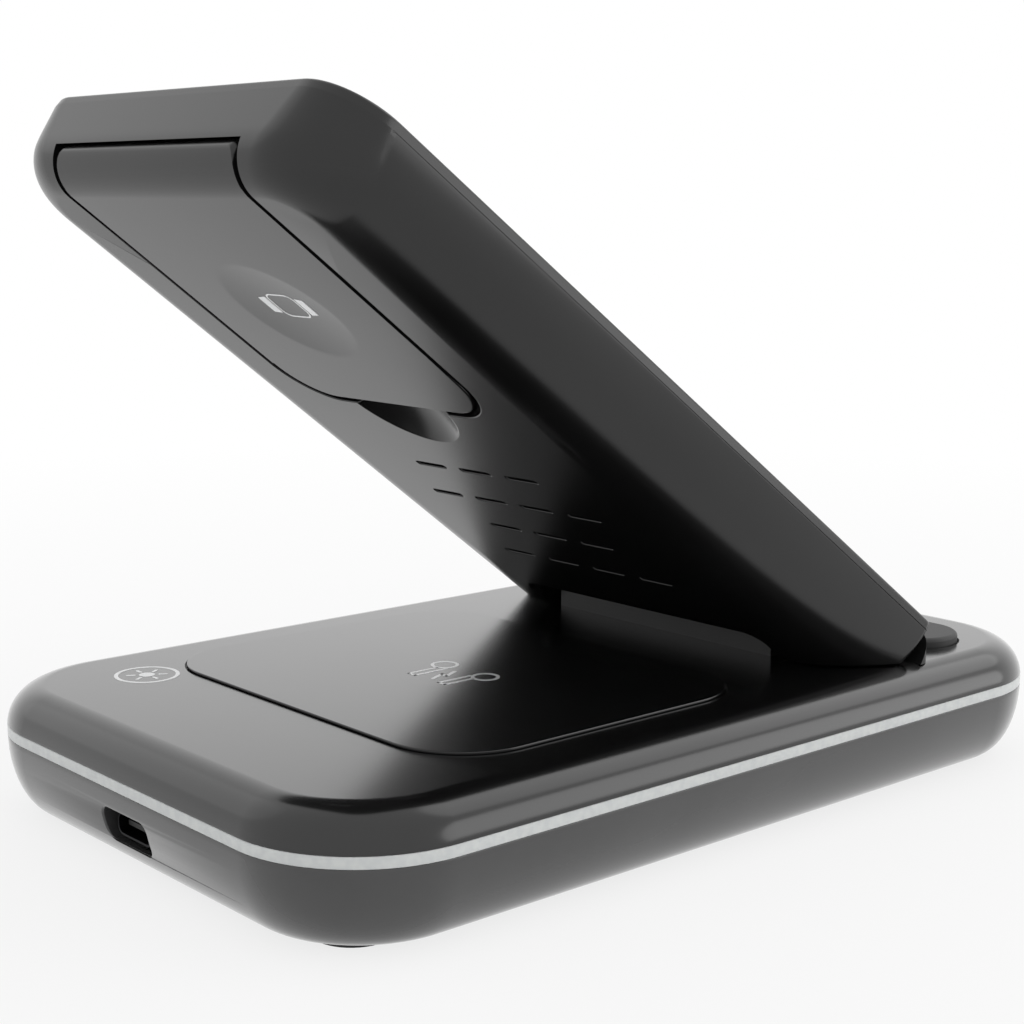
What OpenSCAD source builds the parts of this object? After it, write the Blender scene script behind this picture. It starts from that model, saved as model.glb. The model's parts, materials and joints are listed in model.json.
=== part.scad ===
// Folding charging stand for a phone, earbuds and a watch.
// A flat base carries the earbud pad, the light ring and a pedestal. The phone panel turns on a steel shaft
// through the pedestal, and a watch flap lies flush in the panel's back and swings out at its top end.
// Right is +X, the rear with the power socket is +Y, and Z is up from the feet.

/* [Base] */
// Length of the base, front to rear
base_l = 150; // [146:1:170]
// Width of the base
base_w = 95; // [94:1:106]
// Plan radius of the base's corners
base_r = 19.3; // [18:0.1:22]
// Height of the base, without its feet
base_h = 18.6; // [18:0.1:22]
// How far the bottom edge curves in under the base
bottom_inset = 6.2; // [4:0.1:7]
// How far the shoulder leans in from the light ring to the top
shoulder_inset = 5.7; // [5:0.1:5.8]
// Tilt of the shoulder's surface where it starts at the light ring
shoulder_lean = 5; // [4:1:8]
// Wall and floor of the bottom shell
shell_wall = 2; // [1.6:0.1:2.4]
// Thickness of the base's top
top_wall = 2; // [1.8:0.1:2.4]
// Width of the top cover's rim, where it stands on the light ring
cover_rim = 4.4; // [4:0.1:5]

/* [Light ring] */
// Height of the light ring's lower edge above the underside
ring_z = 11.7; // [11:0.1:12.5]
// Height of the lit edge
ring_h = 1.6; // [1.2:0.1:2.2]
// Depth of the light ring behind its lit edge
ring_depth = 3; // [2.5:0.1:3.4]
// Thickness of the strip of lamps behind the ring
lamp_strip_t = 0.8; // [0.5:0.1:1]

/* [Feet and screws] */
// How far the feet stand out below the base
foot_h = 0.8; // [0.5:0.1:1.5]
// Radius of a foot
foot_r = 5.5; // [4.5:0.1:5.8]
// Depth of the pocket that holds a foot
foot_pocket = 0.6; // [0.4:0.1:0.8]
// Distance of the feet and case screws from the base's sides
case_screw_side = 14.5; // [14:0.1:16]
// Distance of the feet and case screws from the base's ends
case_screw_end = 14; // [13.5:0.1:16]
// Radius of a screw's shank
screw_r = 1.4; // [1.2:0.1:1.5]
// Radius of a screw's head
screw_head_r = 2.5; // [2.2:0.1:2.8]
// Height of a screw's head
screw_head_h = 1.5; // [1.2:0.1:1.8]

/* [Earbud pad] */
// Width of the earbud pad
pad_w = 72.2; // [66:0.2:74]
// Distance of the pad behind the hinge pedestal
pad_front_gap = 16; // [12:0.1:18]
// Distance of the pad from the base's rear end
pad_rear_gap = 27.2; // [26:0.1:32]
// Plan radius of its corners
pad_r = 12; // [8:0.5:15]
// How far it stands above the base's top
pad_proud = 1; // [0.6:0.1:1.2]
// Depth of the pocket that it sits in
pad_sink = 1; // [0.6:0.1:1]

/* [Phone rest] */
// Length of the phone rest, side to side
rest_w = 77; // [60:1:80]
// Width of the phone rest, also twice the radius of its ends
rest_l = 13.6; // [11:0.1:14]
// Distance of its middle line from the base's front end
rest_from_front = 20.5; // [18:0.1:21]
// How far it stands above the base's top
rest_proud = 1.5; // [1:0.1:1.6]
// Depth of the pocket that it sits in
rest_sink = 0.8; // [0.6:0.1:1]

/* [Touch key] */
// Distance of the touch key from the base's side
touch_from_side = 18.1; // [17:0.1:19]
// Distance of the touch key from the base's rear end
touch_from_rear = 21.4; // [20:0.1:22]

/* [Power socket] */
// Width of the opening in the rear wall
port_w = 11.6; // [11:0.1:12]
// Height of the opening in the rear wall
port_h = 4.8; // [4.2:0.1:5]
// Height of the opening's middle above the underside
port_z = 6.4; // [6.2:0.1:6.8]
// Width of the socket's metal sleeve
socket_w = 8.9; // [8.6:0.1:9.2]
// Height of the socket's metal sleeve
socket_h = 3.2; // [3.1:0.1:3.3]
// Depth of the socket's metal sleeve
socket_l = 7.4; // [6.8:0.1:8]

/* [Panel] */
// Length of the phone panel from its lower end to its top end
panel_l = 133.4; // [131:0.1:138]
// Width of the phone panel at its lower end
panel_w = 86.4; // [85:0.2:90]
// Width of the phone panel at its top end
panel_top_w = 76; // [74:0.2:84]
// Thickness of the phone panel at its lower end
panel_t = 15; // [14.6:0.1:16]
// Angle by which the front face leans towards the back face, so that the panel thins towards its top end
panel_taper = 0.7; // [0.4:0.1:1]
// Radius of the long back edges at the lower end
edge_r = 14.2; // [12:0.1:15]
// Radius of the long back edges at the top end
edge_top_r = 8; // [7:0.1:10]
// Radius of the back edge across the top end
end_r = 5.9; // [5.4:0.1:6.4]
// Plan radius of the top corners at the front cover
corner_r = 9.2; // [8:0.1:12]
// How much the top corners' radius grows from the front cover to the back face
corner_more = 3.5; // [0:0.5:4]
// Wall of the back shell
panel_wall = 2; // [1.6:0.1:2.2]
// Thickness of the front cover
cover_t = 1.5; // [1.2:0.1:1.8]
// How far the front cover's rim leans in
cover_lean = 0.5; // [0.2:0.1:0.8]
// Angle of the panel above level when it stands open
open_angle = 37.2; // [32:0.1:42]

/* [Hinge] */
// Distance of the hinge's axis from the base's front end
pivot_from_front = 48.6; // [48:0.1:50]
// Height of the hinge's axis above the base's top
pivot_h = 9.5; // [9:0.1:11]
// Distance of the hinge's axis from the panel's lower end
pivot_along = 15.8; // [15:0.1:17]
// Distance of the hinge's axis from the panel's back face
pivot_deep = 7.4; // [7:0.1:8]
// Radius of the hinge shaft
shaft_r = 2; // [1.5:0.1:2.3]
// Radius of the pedestal's knuckle
knuckle_r = 4.5; // [4:0.1:4.7]
// Width of the pedestal's knuckle
knuckle_w = 48.8; // [44:0.2:50]
// Wall of the bushes in the panel's ears
bush_wall = 1; // [0.6:0.1:1.4]
// Thickness of one ear of the panel
ear_t = 8; // [6:0.5:9]
// Distance of the pedestal's front face ahead of the hinge's axis
pedestal_ahead = 17.5; // [17.1:0.1:18.6]
// Distance of the pedestal's rear wall ahead of the hinge's axis
pedestal_rear_ahead = 0.6; // [0.2:0.1:1.5]
// Width of each friction washer stack
washer_t = 2.4; // [2:0.1:2.6]
// Radius of the friction washers
washer_r = 4; // [3.4:0.1:4.4]

/* [Watch flap] */
// Width of the watch flap
flap_w = 43.8; // [40:0.2:46]
// Distance of the flap's free edge from the panel's lower end
flap_from = 78.8; // [75:0.2:83]
// Thickness of the flap
flap_t = 5; // [4.8:0.1:5.2]
// Plan radius of the flap's free corners
flap_r = 8; // [6:0.5:12]
// Gap round the flap
flap_gap = 1; // [0.6:0.1:1.2]
// Distance of the flap's axis from the panel's top end
flap_axis_in = 4.3; // [4.2:0.1:4.6]
// Distance of the flap's axis from the back face
flap_axis_deep = 3.4; // [3.2:0.1:3.5]
// Radius of the flap's barrel
barrel_r = 3.5; // [3.5:0.1:3.8]
// Radius of the flap's pin
flap_pin_r = 1; // [0.8:0.1:1.2]
// Radius of the dished place for the watch
dish_r = 11.3; // [9:0.1:13]
// Distance of the dish's middle from the flap's free edge
dish_from_edge = 23.4; // [20:0.1:25]
// Depth of the dish
dish_deep = 0.4; // [0.2:0.1:0.5]
// Radius of the finger scoop at the surface
scoop_r = 11; // [9:0.1:12]
// Depth of the finger scoop
scoop_deep = 3.2; // [2.5:0.1:3.6]

/* [Vents] */
// Length of one vent slot
vent_l = 7; // [5:0.1:8]
// Width of one vent slot
vent_w = 1; // [0.8:0.1:1.4]
// Distance between the middles of two slots in a row
vent_pitch = 10.5; // [10:0.1:11]
// Distance between two rows of slots
vent_row = 9.6; // [9:0.1:10]
// Distance of the first row from the panel's lower end
vent_from = 31.4; // [30:0.1:33]
// Rows of slots
vent_rows = 4; // [2:1:4]

/* [Hidden] */
$fn = 64;

// Clearances, each named once
seat_gap = 0.3;
running_gap = 0.05;
screw_gap = 0.1;
tiny = 0.01;

// Heights in the base
underside_z = foot_h;
ring_bottom_z = underside_z + ring_z;
ring_top_z = ring_bottom_z + ring_h;
top_z = underside_z + base_h;
ceiling_z = top_z - top_wall;
floor_z = underside_z + shell_wall;
shoulder_h = top_z - ring_top_z;
profile_steps = 12;

// Case screws
boss_r = 4;
case_screw_x = base_w / 2 - case_screw_side;
case_screw_y = base_l / 2 - case_screw_end;
case_boss_z = floor_z + 3.2;
head_floor_z = underside_z + foot_pocket + screw_head_h + screw_gap;
case_screw_top = ceiling_z - 2;

// Places along the base
front_y = -base_l / 2;
rest_y = front_y + rest_from_front;
pivot_y = front_y + pivot_from_front;
pedestal_front_y = pivot_y - pedestal_ahead;
pedestal_rear_y = pivot_y - pedestal_rear_ahead;
pad_front_y = pedestal_rear_y + pad_front_gap;
pad_rear_y = base_l / 2 - pad_rear_gap;
pad_l = pad_rear_y - pad_front_y;
pad_y = (pad_front_y + pad_rear_y) / 2;

// Boards and coils
board_t = 1.2;
board_post_r = 2;
board_post_in = 4;
coil_t = 1.6;
ferrite_t = 0.8;
inside_gap = 3;
main_board_w = 2 * (case_screw_x - boss_r - inside_gap);
main_board_l = 46;
socket_back = 1.2;
tongue_w = 6.6;
tongue_t = 0.7;
tongue_short = 1;
ballast_l = 42;
ballast_t = 4;
ballast_r = 3;
ballast_from_front = 9;
ballast_y = front_y + ballast_from_front + ballast_l / 2;
earbud_coil_r = 15;
phone_coil_r = 22;
phone_coil_hole_r = 9;
phone_coil_along = 71;
magnet_ring_r = 26;
magnet_r = 2.4;
magnet_count = 16;
panel_board_w = 52;
panel_board_l = 24;
panel_board_along = 45;
panel_board_deep = 5;
touch_x = base_w / 2 - touch_from_side;
touch_y = base_l / 2 - touch_from_rear;
touch_r = 3.6;
touch_t = 2;

// Hinge
ear_wall = 2.5;
pivot = [0, pivot_y, top_z + pivot_h];
knuckle_gap = washer_t + seat_gap;
ear_in = knuckle_w / 2 + knuckle_gap;
ear_out = ear_in + ear_t;
bush_r = shaft_r + running_gap + bush_wall;
pedestal_screw_x = knuckle_w / 2 - 6;
pedestal_screw_y = (pedestal_front_y + pedestal_rear_y) / 2;
pedestal_screw_l = 6;
pedestal_corner_r = 3;

// Panel: along it from its lower end, and deep from its back face
rail_gap = 1.25;
front_at_top = panel_t - panel_l * tan(panel_taper);
panel_steps = 10;
notch_w = knuckle_w + 2 * knuckle_gap;
notch_top = pivot_along + 2;
notch_r = 3;
notch_below = notch_top;

// Flap and the recess that holds it
flap_axis_along = panel_l - flap_axis_in;
recess_w = flap_w + 2 * flap_gap;
recess_from = flap_from - flap_gap;
recess_deep = flap_t + 0.5;
recess_wall = 1;
barrel_room_r = barrel_r + 0.6;
flap_skin = 1.2;
flap_cover_t = 1;
flap_edge = 1.6;
flap_inside_to = flap_axis_along - barrel_r - 1.5;
flap_pin_l = recess_w + 6;
pin_boss_r = 2.4;
dish_along = flap_from + dish_from_edge;
watch_coil_r = 10.6;
watch_coil_t = 1.2;
watch_magnet_r = 4.6;
scoop_sphere_r = (pow(scoop_r, 2) + pow(scoop_deep, 2)) / (2 * scoop_deep);
scoop_wall = 1.1;
scoop_ahead = 1.3;
dish_sphere_r = (pow(dish_r, 2) + pow(dish_deep, 2)) / (2 * dish_deep);

// Rounded rectangle, centred
module plate_outline(w, l, r) {
    square([w - 2 * r, l], center = true);
    square([w, l - 2 * r], center = true);
    for (x = [-1, 1], y = [-1, 1])
        translate([x * (w / 2 - r), y * (l / 2 - r)]) circle(r);
}

module plate(w, l, r, t) {
    linear_extrude(t) plate_outline(w, l, r);
}

// Block whose plan is a rounded rectangle and whose edge follows a profile.
// The profile is drawn outwards from the corner's centre line, from height low to height high.
module rimmed_block(w, l, r, low, high) {
    for (i = [0:3])
        translate([(i == 0 || i == 3 ? 1 : -1) * (w / 2 - r), (i < 2 ? 1 : -1) * (l / 2 - r), 0])
            rotate([0, 0, 90 * i]) rotate_extrude(angle = 90) children();
    for (a = [0, 180])
        rotate([0, 0, a]) translate([w / 2 - r, 0, 0])
            rotate([90, 0, 0]) linear_extrude(l - 2 * r, center = true) children();
    for (a = [90, 270])
        rotate([0, 0, a]) translate([l / 2 - r, 0, 0])
            rotate([90, 0, 0]) linear_extrude(w - 2 * r, center = true) children();
    translate([-(w / 2 - r), -(l / 2 - r), low]) cube([w - 2 * r, l - 2 * r, high - low]);
}

// Quarter of an ellipse, from the underside's edge up to the light ring
function bowl_points(r, inset, low, high) = [
    for (i = [0:profile_steps])
        let (a = 90 * i / profile_steps)
        [r - inset + inset * sin(a), high - (high - low) * cos(a)]
];

module bowl_profile(r, inset, low, high) {
    polygon(concat([[0, high], [0, low]], bowl_points(r, inset, low, high)));
}

// Shallow arc from the light ring up to the crease round the top.
// It starts shoulder_lean off vertical, and the chord fixes where it ends.
chord_lean = atan2(shoulder_inset, shoulder_h);
arc_end = min(90, 2 * chord_lean - shoulder_lean);
arc_r = shoulder_h / (sin(arc_end) - sin(shoulder_lean));

module shoulder_profile(r) {
    points = [
        for (i = [0:profile_steps])
            let (a = shoulder_lean + (arc_end - shoulder_lean) * i / profile_steps)
            [r - arc_r * (cos(shoulder_lean) - cos(a)), ring_top_z + arc_r * (sin(a) - sin(shoulder_lean))]
    ];
    polygon(concat([[0, ring_top_z]], points, [[0, top_z]]));
}

module at_case_screws() {
    for (x = [-1, 1], y = [-1, 1]) translate([x * case_screw_x, y * case_screw_y, 0]) children();
}

module at_pedestal_screws() {
    for (x = [-1, 1]) translate([x * pedestal_screw_x, pedestal_screw_y, 0]) children();
}

// Screw with its head down and its shank pointing up
module screw(shank) {
    translate([0, 0, -screw_head_h]) cylinder(r = screw_head_r, h = screw_head_h);
    cylinder(r = screw_r, h = shank);
}

// Four posts under a circuit board's corners
module board_posts(w, l, h) {
    for (x = [-1, 1], y = [-1, 1])
        translate([x * (w / 2 - board_post_in), y * (l / 2 - board_post_in), 0])
            cylinder(r = board_post_r, h = h);
}

function main_board_y() = base_l / 2 - bottom_inset - main_board_l / 2;
function board_top_z() = underside_z + port_z - socket_h / 2;

module base_bottom_shell() {
    color([0.16, 0.16, 0.17]) {
        difference() {
            rimmed_block(base_w, base_l, base_r, underside_z, ring_bottom_z)
                bowl_profile(base_r, bottom_inset, underside_z, ring_bottom_z);
            rimmed_block(base_w - 2 * shell_wall, base_l - 2 * shell_wall, base_r - shell_wall,
                    floor_z, ring_bottom_z + 1)
                bowl_profile(base_r - shell_wall, bottom_inset, floor_z, ring_bottom_z + 1);
            at_case_screws() {
                translate([0, 0, underside_z - 1]) cylinder(r = foot_r + 0.1, h = 1 + foot_pocket);
                translate([0, 0, underside_z - 1])
                    cylinder(r = screw_head_r + screw_gap, h = head_floor_z - underside_z + 1);
                cylinder(r = screw_r + screw_gap, h = case_boss_z + 1);
            }
            translate([0, base_l / 2, underside_z + port_z]) rotate([90, 0, 0])
                linear_extrude(5 * shell_wall, center = true) plate_outline(port_w, port_h, port_h * 0.35);
        }
        at_case_screws()
            difference() {
                translate([0, 0, floor_z - tiny]) cylinder(r = boss_r, h = case_boss_z - floor_z + tiny);
                translate([0, 0, underside_z])
                    cylinder(r = screw_head_r + screw_gap, h = head_floor_z - underside_z);
                cylinder(r = screw_r + screw_gap, h = case_boss_z + 1);
            }
        translate([0, main_board_y(), floor_z - tiny])
            board_posts(main_board_w, main_board_l, board_top_z() - board_t - floor_z + tiny);
    }
}

module base_top_cover() {
    inner_w = base_w - 2 * cover_rim;
    inner_l = base_l - 2 * cover_rim;
    color([0.13, 0.13, 0.14])
        difference() {
            union() {
                difference() {
                    rimmed_block(base_w, base_l, base_r, ring_top_z, top_z) shoulder_profile(base_r);
                    translate([0, 0, ring_top_z - 1])
                        plate(inner_w, inner_l, base_r - cover_rim, ceiling_z - ring_top_z + 1);
                }
                at_case_screws()
                    translate([0, 0, case_boss_z]) cylinder(r = boss_r, h = ceiling_z - case_boss_z + tiny);
            }
            at_case_screws()
                translate([0, 0, case_boss_z - 1])
                    cylinder(r = screw_r + running_gap, h = case_screw_top - case_boss_z + 1.5);
            translate([0, pad_y, top_z - pad_sink])
                plate(pad_w + 2 * seat_gap, pad_l + 2 * seat_gap, pad_r + seat_gap, pad_sink + 1);
            translate([0, rest_y, top_z - rest_sink])
                plate(rest_w + 2 * seat_gap, rest_l + 2 * seat_gap, rest_l / 2 + seat_gap - tiny,
                    rest_sink + 1);
            at_pedestal_screws()
                translate([0, 0, ceiling_z - 1]) cylinder(r = screw_r + screw_gap, h = top_wall + 2);
        }
}

module light_ring() {
    color([0.82, 0.84, 0.84])
        translate([0, 0, ring_bottom_z])
            difference() {
                plate(base_w, base_l, base_r, ring_h);
                translate([0, 0, -1])
                    plate(base_w - 2 * ring_depth, base_l - 2 * ring_depth, base_r - ring_depth, ring_h + 2);
            }
}

module lamp_strip() {
    inset = ring_depth + lamp_strip_t;
    color([0.9, 0.88, 0.8])
        translate([0, 0, ring_bottom_z])
            difference() {
                plate(base_w - 2 * ring_depth, base_l - 2 * ring_depth, base_r - ring_depth, ring_h);
                translate([0, 0, -1])
                    plate(base_w - 2 * inset, base_l - 2 * inset, base_r - inset, ring_h + 2);
            }
}

module rubber_feet() {
    color([0.07, 0.07, 0.07])
        at_case_screws() cylinder(r = foot_r, h = foot_h + foot_pocket);
}

module case_screws() {
    color([0.6, 0.6, 0.62])
        at_case_screws() translate([0, 0, head_floor_z]) screw(case_screw_top - head_floor_z);
}

module ballast_plate() {
    color([0.45, 0.45, 0.47])
        translate([0, ballast_y, floor_z]) plate(main_board_w, ballast_l, ballast_r, ballast_t);
}

module main_circuit_board() {
    color([0.05, 0.3, 0.16])
        translate([0, main_board_y(), board_top_z() - board_t]) plate(main_board_w, main_board_l, 1, board_t);
}

module power_socket() {
    color([0.72, 0.72, 0.74])
        translate([0, base_l / 2 - shell_wall, underside_z + port_z]) rotate([90, 0, 0])
            difference() {
                linear_extrude(socket_l) plate_outline(socket_w, socket_h, socket_h * 0.4);
                translate([0, 0, -1])
                    linear_extrude(socket_l - socket_back + 1)
                        plate_outline(socket_w - 0.6, socket_h - 0.6, (socket_h - 0.6) * 0.4);
            }
}

module socket_tongue() {
    color([0.1, 0.1, 0.1])
        translate([0, base_l / 2 - shell_wall - socket_l + socket_back, underside_z + port_z])
            translate([-tongue_w / 2, 0, -tongue_t / 2])
                cube([tongue_w, socket_l - socket_back - tongue_short, tongue_t]);
}

module touch_sensor() {
    color([0.75, 0.6, 0.3])
        translate([touch_x, touch_y, ceiling_z - touch_t]) cylinder(r = touch_r, h = touch_t);
}

module earbud_pad() {
    color([0.12, 0.12, 0.13])
        translate([0, pad_y, top_z - pad_sink]) plate(pad_w, pad_l, pad_r, pad_sink + pad_proud);
}

module flat_coil(r, hole_r, t) {
    difference() {
        cylinder(r = r, h = t);
        translate([0, 0, -1]) cylinder(r = hole_r, h = t + 2);
    }
}

module earbud_coil() {
    color([0.72, 0.43, 0.2])
        translate([0, pad_y, ceiling_z - coil_t]) flat_coil(earbud_coil_r, earbud_coil_r / 3, coil_t);
}

module earbud_ferrite() {
    color([0.2, 0.2, 0.2])
        translate([0, pad_y, ceiling_z - coil_t - ferrite_t]) cylinder(r = earbud_coil_r + 2, h = ferrite_t);
}

module phone_rest() {
    color([0.1, 0.1, 0.1])
        translate([0, rest_y, top_z - rest_sink])
            plate(rest_w, rest_l, rest_l / 2 - tiny, rest_sink + rest_proud);
}

// Puts what is drawn in the panel's own frame where the panel stands open.
// In that frame Y runs along the panel from its lower end, and Z goes from its back face to its front face.
module on_panel() {
    translate(pivot) rotate([open_angle, 0, 0]) translate([0, -pivot_along, -pivot_deep]) children();
}

// Inside the panel's frame, puts Z = 0 on the plane between the back shell and the front cover
module on_cover_plane() {
    translate([0, 0, panel_t]) rotate([-panel_taper, 0, 0]) translate([0, 0, -cover_t]) children();
}

// Everything above the base's top and clear of it, in the panel's frame
module above_base() {
    translate([0, pivot_along, pivot_deep]) rotate([-open_angle, 0, 0])
        translate([-panel_w, -panel_l, -pivot_h + seat_gap]) cube([2 * panel_w, 3 * panel_l, 2 * panel_l]);
}

module hinge_pedestal() {
    front = pedestal_front_y;
    length = pedestal_rear_y - pedestal_front_y;
    color([0.11, 0.11, 0.12])
        difference() {
            union() {
                // Middle block, cut off level with the top of the knuckle
                difference() {
                    translate([-knuckle_w / 2, front, top_z]) cube([knuckle_w, length, pivot_h]);
                    on_panel()
                        translate([-panel_w, -panel_l, pivot_deep + knuckle_r])
                            cube([2 * panel_w, 3 * panel_l, panel_l]);
                }
                translate([-knuckle_w / 2, pivot.y, pivot.z])
                    rotate([0, 90, 0]) cylinder(r = knuckle_r, h = knuckle_w);
                // Rail under the panel's lower end
                difference() {
                    translate([0, front + panel_l / 2, top_z])
                        plate(panel_w, panel_l, pedestal_corner_r, pivot_h);
                    on_panel()
                        translate([-panel_w, -rail_gap, -panel_l])
                            cube([2 * panel_w, 3 * panel_l, 3 * panel_l]);
                }
            }
            translate([-knuckle_w, pivot.y, pivot.z])
                rotate([0, 90, 0]) cylinder(r = shaft_r, h = 2 * knuckle_w);
            at_pedestal_screws()
                translate([0, 0, top_z - 1]) cylinder(r = screw_r + running_gap, h = pedestal_screw_l + 1.2);
        }
}

module pedestal_screws() {
    color([0.6, 0.6, 0.62])
        at_pedestal_screws() translate([0, 0, ceiling_z]) screw(top_wall + pedestal_screw_l - 0.5);
}

module hinge_shaft() {
    color([0.7, 0.7, 0.72])
        translate([-ear_out, pivot.y, pivot.z]) rotate([0, 90, 0]) cylinder(r = shaft_r, h = 2 * ear_out);
}

module friction_washers() {
    color([0.78, 0.72, 0.5])
        for (s = [-1, 1])
            translate([s * (knuckle_w + washer_t) / 2, pivot.y, pivot.z]) rotate([0, 90, 0])
                difference() {
                    cylinder(r = washer_r, h = washer_t, center = true);
                    cylinder(r = shaft_r + running_gap, h = washer_t + 1, center = true);
                }
}

module hinge_bushes() {
    color([0.75, 0.62, 0.32])
        on_panel()
            for (s = [-1, 1])
                translate([s * (ear_in + ear_out) / 2, pivot_along, pivot_deep]) rotate([0, 90, 0])
                    difference() {
                        cylinder(r = bush_r, h = ear_t, center = true);
                        cylinder(r = shaft_r + running_gap, h = ear_t + 1, center = true);
                    }
}

// How far a round edge of the given radius stands in at a depth below its crown
function edge_inset(r, deep) = deep < r ? r - sqrt(pow(r, 2) - pow(r - deep, 2)) : 0;

// Half width of the panel at its lower end and at its top end, the place of its top end, and the radius of
// its top corners, all at a depth from its back face and less a wall all round
function lower_half_at(deep, wall) = panel_w / 2 - wall - edge_inset(edge_r - wall, deep - wall);
function upper_half_at(deep, wall) = panel_top_w / 2 - wall - edge_inset(edge_top_r - wall, deep - wall);
function end_at(deep, wall) = panel_l - wall - edge_inset(end_r - wall, deep - wall);
function corner_at(deep, wall) =
    max(0.8, corner_r + corner_more * (1 - deep / (front_at_top - cover_t))
        - (panel_top_w / 2 - upper_half_at(deep, wall) + panel_l - end_at(deep, wall)) / 2);

// What spans the panel's plan: its lower edge and its two top corners
module plan_corners(lower_half, upper_half, low, high, r) {
    translate([-lower_half, low]) square([2 * lower_half, tiny]);
    for (x = [-1, 1]) translate([x * (upper_half - r), high - r]) circle(r, $fn = 32);
}

// The panel up to the plane of its front cover as one solid, less a wall all round.
// It spans thin slices that turn from the back face to that plane.
module panel_solid(wall) {
    hull()
        for (i = [0:panel_steps]) {
            share = 1 - cos(90 * i / panel_steps);
            lower_deep = wall + share * (panel_t - cover_t - wall);
            upper_deep = wall + share * (front_at_top - cover_t - wall);
            translate([0, 0, lower_deep]) rotate([-atan2(lower_deep - upper_deep, panel_l), 0, 0])
                translate([0, 0, i == 0 ? 0 : -tiny])
                    linear_extrude(i == panel_steps && wall > 0 ? cover_t : tiny)
                        plan_corners(lower_half_at(lower_deep, wall), upper_half_at(upper_deep, wall),
                            wall, end_at(upper_deep, wall), corner_at(upper_deep, wall));
        }
}

// Side view of the panel's back and top end, drawn with X along the panel and Y from back to front
module side_outline() {
    translate([-1, 0]) square([panel_l - end_r + 1, panel_t]);
    translate([-1, end_r]) square([panel_l + 1, panel_t - end_r]);
    translate([panel_l - end_r, end_r]) circle(end_r);
}

// Plan of the flap or of its recess
module flap_plan(w, from, r) {
    to = panel_l + 2;
    translate([-w / 2, from + r]) square([w, to - from - r]);
    translate([-w / 2 + r, from]) square([w - 2 * r, to - from]);
    for (x = [-1, 1]) translate([x * (w / 2 - r), from + r]) circle(r);
}

// Side view of the flap or of its recess: a slab that ends in a barrel round the flap's axis
module flap_side(from, deep, round_r) {
    translate([from, -2]) square([flap_axis_along - from, deep + 2]);
    translate([flap_axis_along, flap_axis_deep]) circle(round_r);
}

module flap_volume(w, from, r, deep, round_r) {
    intersection() {
        rotate([90, 0, 90]) linear_extrude(w, center = true) flap_side(from, deep, round_r);
        translate([0, 0, -5]) linear_extrude(4 * panel_t) flap_plan(w, from, r);
    }
}

module vent_slots() {
    for (row = [0:vent_rows - 1]) {
        count = row % 2 == 0 ? 4 : 3;
        for (i = [0:count - 1])
            translate([(i - (count - 1) / 2) * vent_pitch, vent_from + row * vent_row, -1])
                linear_extrude(panel_wall + 2) plate_outline(vent_l, vent_w, vent_w / 2 - tiny);
    }
}

module scoop_sphere(wall) {
    translate([0, flap_from + scoop_ahead, scoop_deep - scoop_sphere_r]) sphere(r = scoop_sphere_r + wall);
}

// What stands inside the back shell: the recess's walls, bosses for the flap's pin, the cup of the finger
// scoop, the ears that carry the bushes, and posts for the circuit board
module panel_insides() {
    flap_volume(recess_w + 2 * recess_wall, recess_from - recess_wall, flap_r + flap_gap + recess_wall,
        recess_deep + recess_wall, barrel_room_r + recess_wall);
    translate([0, flap_axis_along, flap_axis_deep]) rotate([0, 90, 0])
        cylinder(r = pin_boss_r, h = flap_pin_l + 2, center = true);
    scoop_sphere(scoop_wall);
    for (s = [-1, 1])
        translate([s * (ear_in + ear_out) / 2, pivot_along, panel_t / 2])
            cube([ear_t, 2 * (bush_r + ear_wall), 2 * panel_t], center = true);
    translate([0, panel_board_along, 0]) board_posts(panel_board_w, panel_board_l, panel_board_deep);
}

module panel_back_shell() {
    color([0.12, 0.12, 0.13])
        on_panel()
            difference() {
                panel_solid(0);
                difference() {
                    panel_solid(panel_wall);
                    panel_insides();
                }
                // Recess of the watch flap, its pin's bores, and the finger scoop
                flap_volume(recess_w, recess_from, flap_r + flap_gap, recess_deep, barrel_room_r);
                translate([0, flap_axis_along, flap_axis_deep]) rotate([0, 90, 0])
                    cylinder(r = flap_pin_r + running_gap, h = flap_pin_l + 2 * seat_gap, center = true);
                intersection() {
                    scoop_sphere(0);
                    translate([-2 * scoop_r, recess_from - 2 * scoop_r, -1])
                        cube([4 * scoop_r, 2 * scoop_r + flap_gap, scoop_deep + 2]);
                }
                // Seats of the bushes, and the notch that goes over the pedestal
                translate([0, pivot_along, pivot_deep]) rotate([0, 90, 0])
                    cylinder(r = bush_r, h = 2 * ear_out, center = true);
                translate([0, (notch_top - notch_below) / 2, -1]) linear_extrude(2 * panel_t)
                    plate_outline(notch_w, notch_top + notch_below, notch_r);
                vent_slots();
                // Clearance over the base's top
                difference() {
                    translate([-panel_w, -1, -1]) cube([2 * panel_w, panel_l, 2 * panel_t]);
                    above_base();
                }
            }
}

module panel_front_cover() {
    half_w = lower_half_at(panel_t - cover_t, 0);
    color([0.13, 0.13, 0.14])
        on_panel() on_cover_plane()
            hull() {
                linear_extrude(tiny) plan_corners(half_w, panel_top_w / 2, 0, panel_l, corner_r);
                translate([0, 0, cover_t - tiny]) linear_extrude(tiny)
                    plan_corners(half_w - cover_lean, panel_top_w / 2 - cover_lean, 0, panel_l - cover_lean,
                        corner_r - cover_lean);
            }
}

module phone_coil() {
    color([0.72, 0.43, 0.2])
        on_panel() on_cover_plane() translate([0, phone_coil_along, -coil_t])
            flat_coil(phone_coil_r, phone_coil_hole_r, coil_t);
}

module phone_ferrite() {
    color([0.2, 0.2, 0.2])
        on_panel() on_cover_plane() translate([0, phone_coil_along, -coil_t - ferrite_t])
            cylinder(r = phone_coil_r + 1, h = ferrite_t);
}

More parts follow.
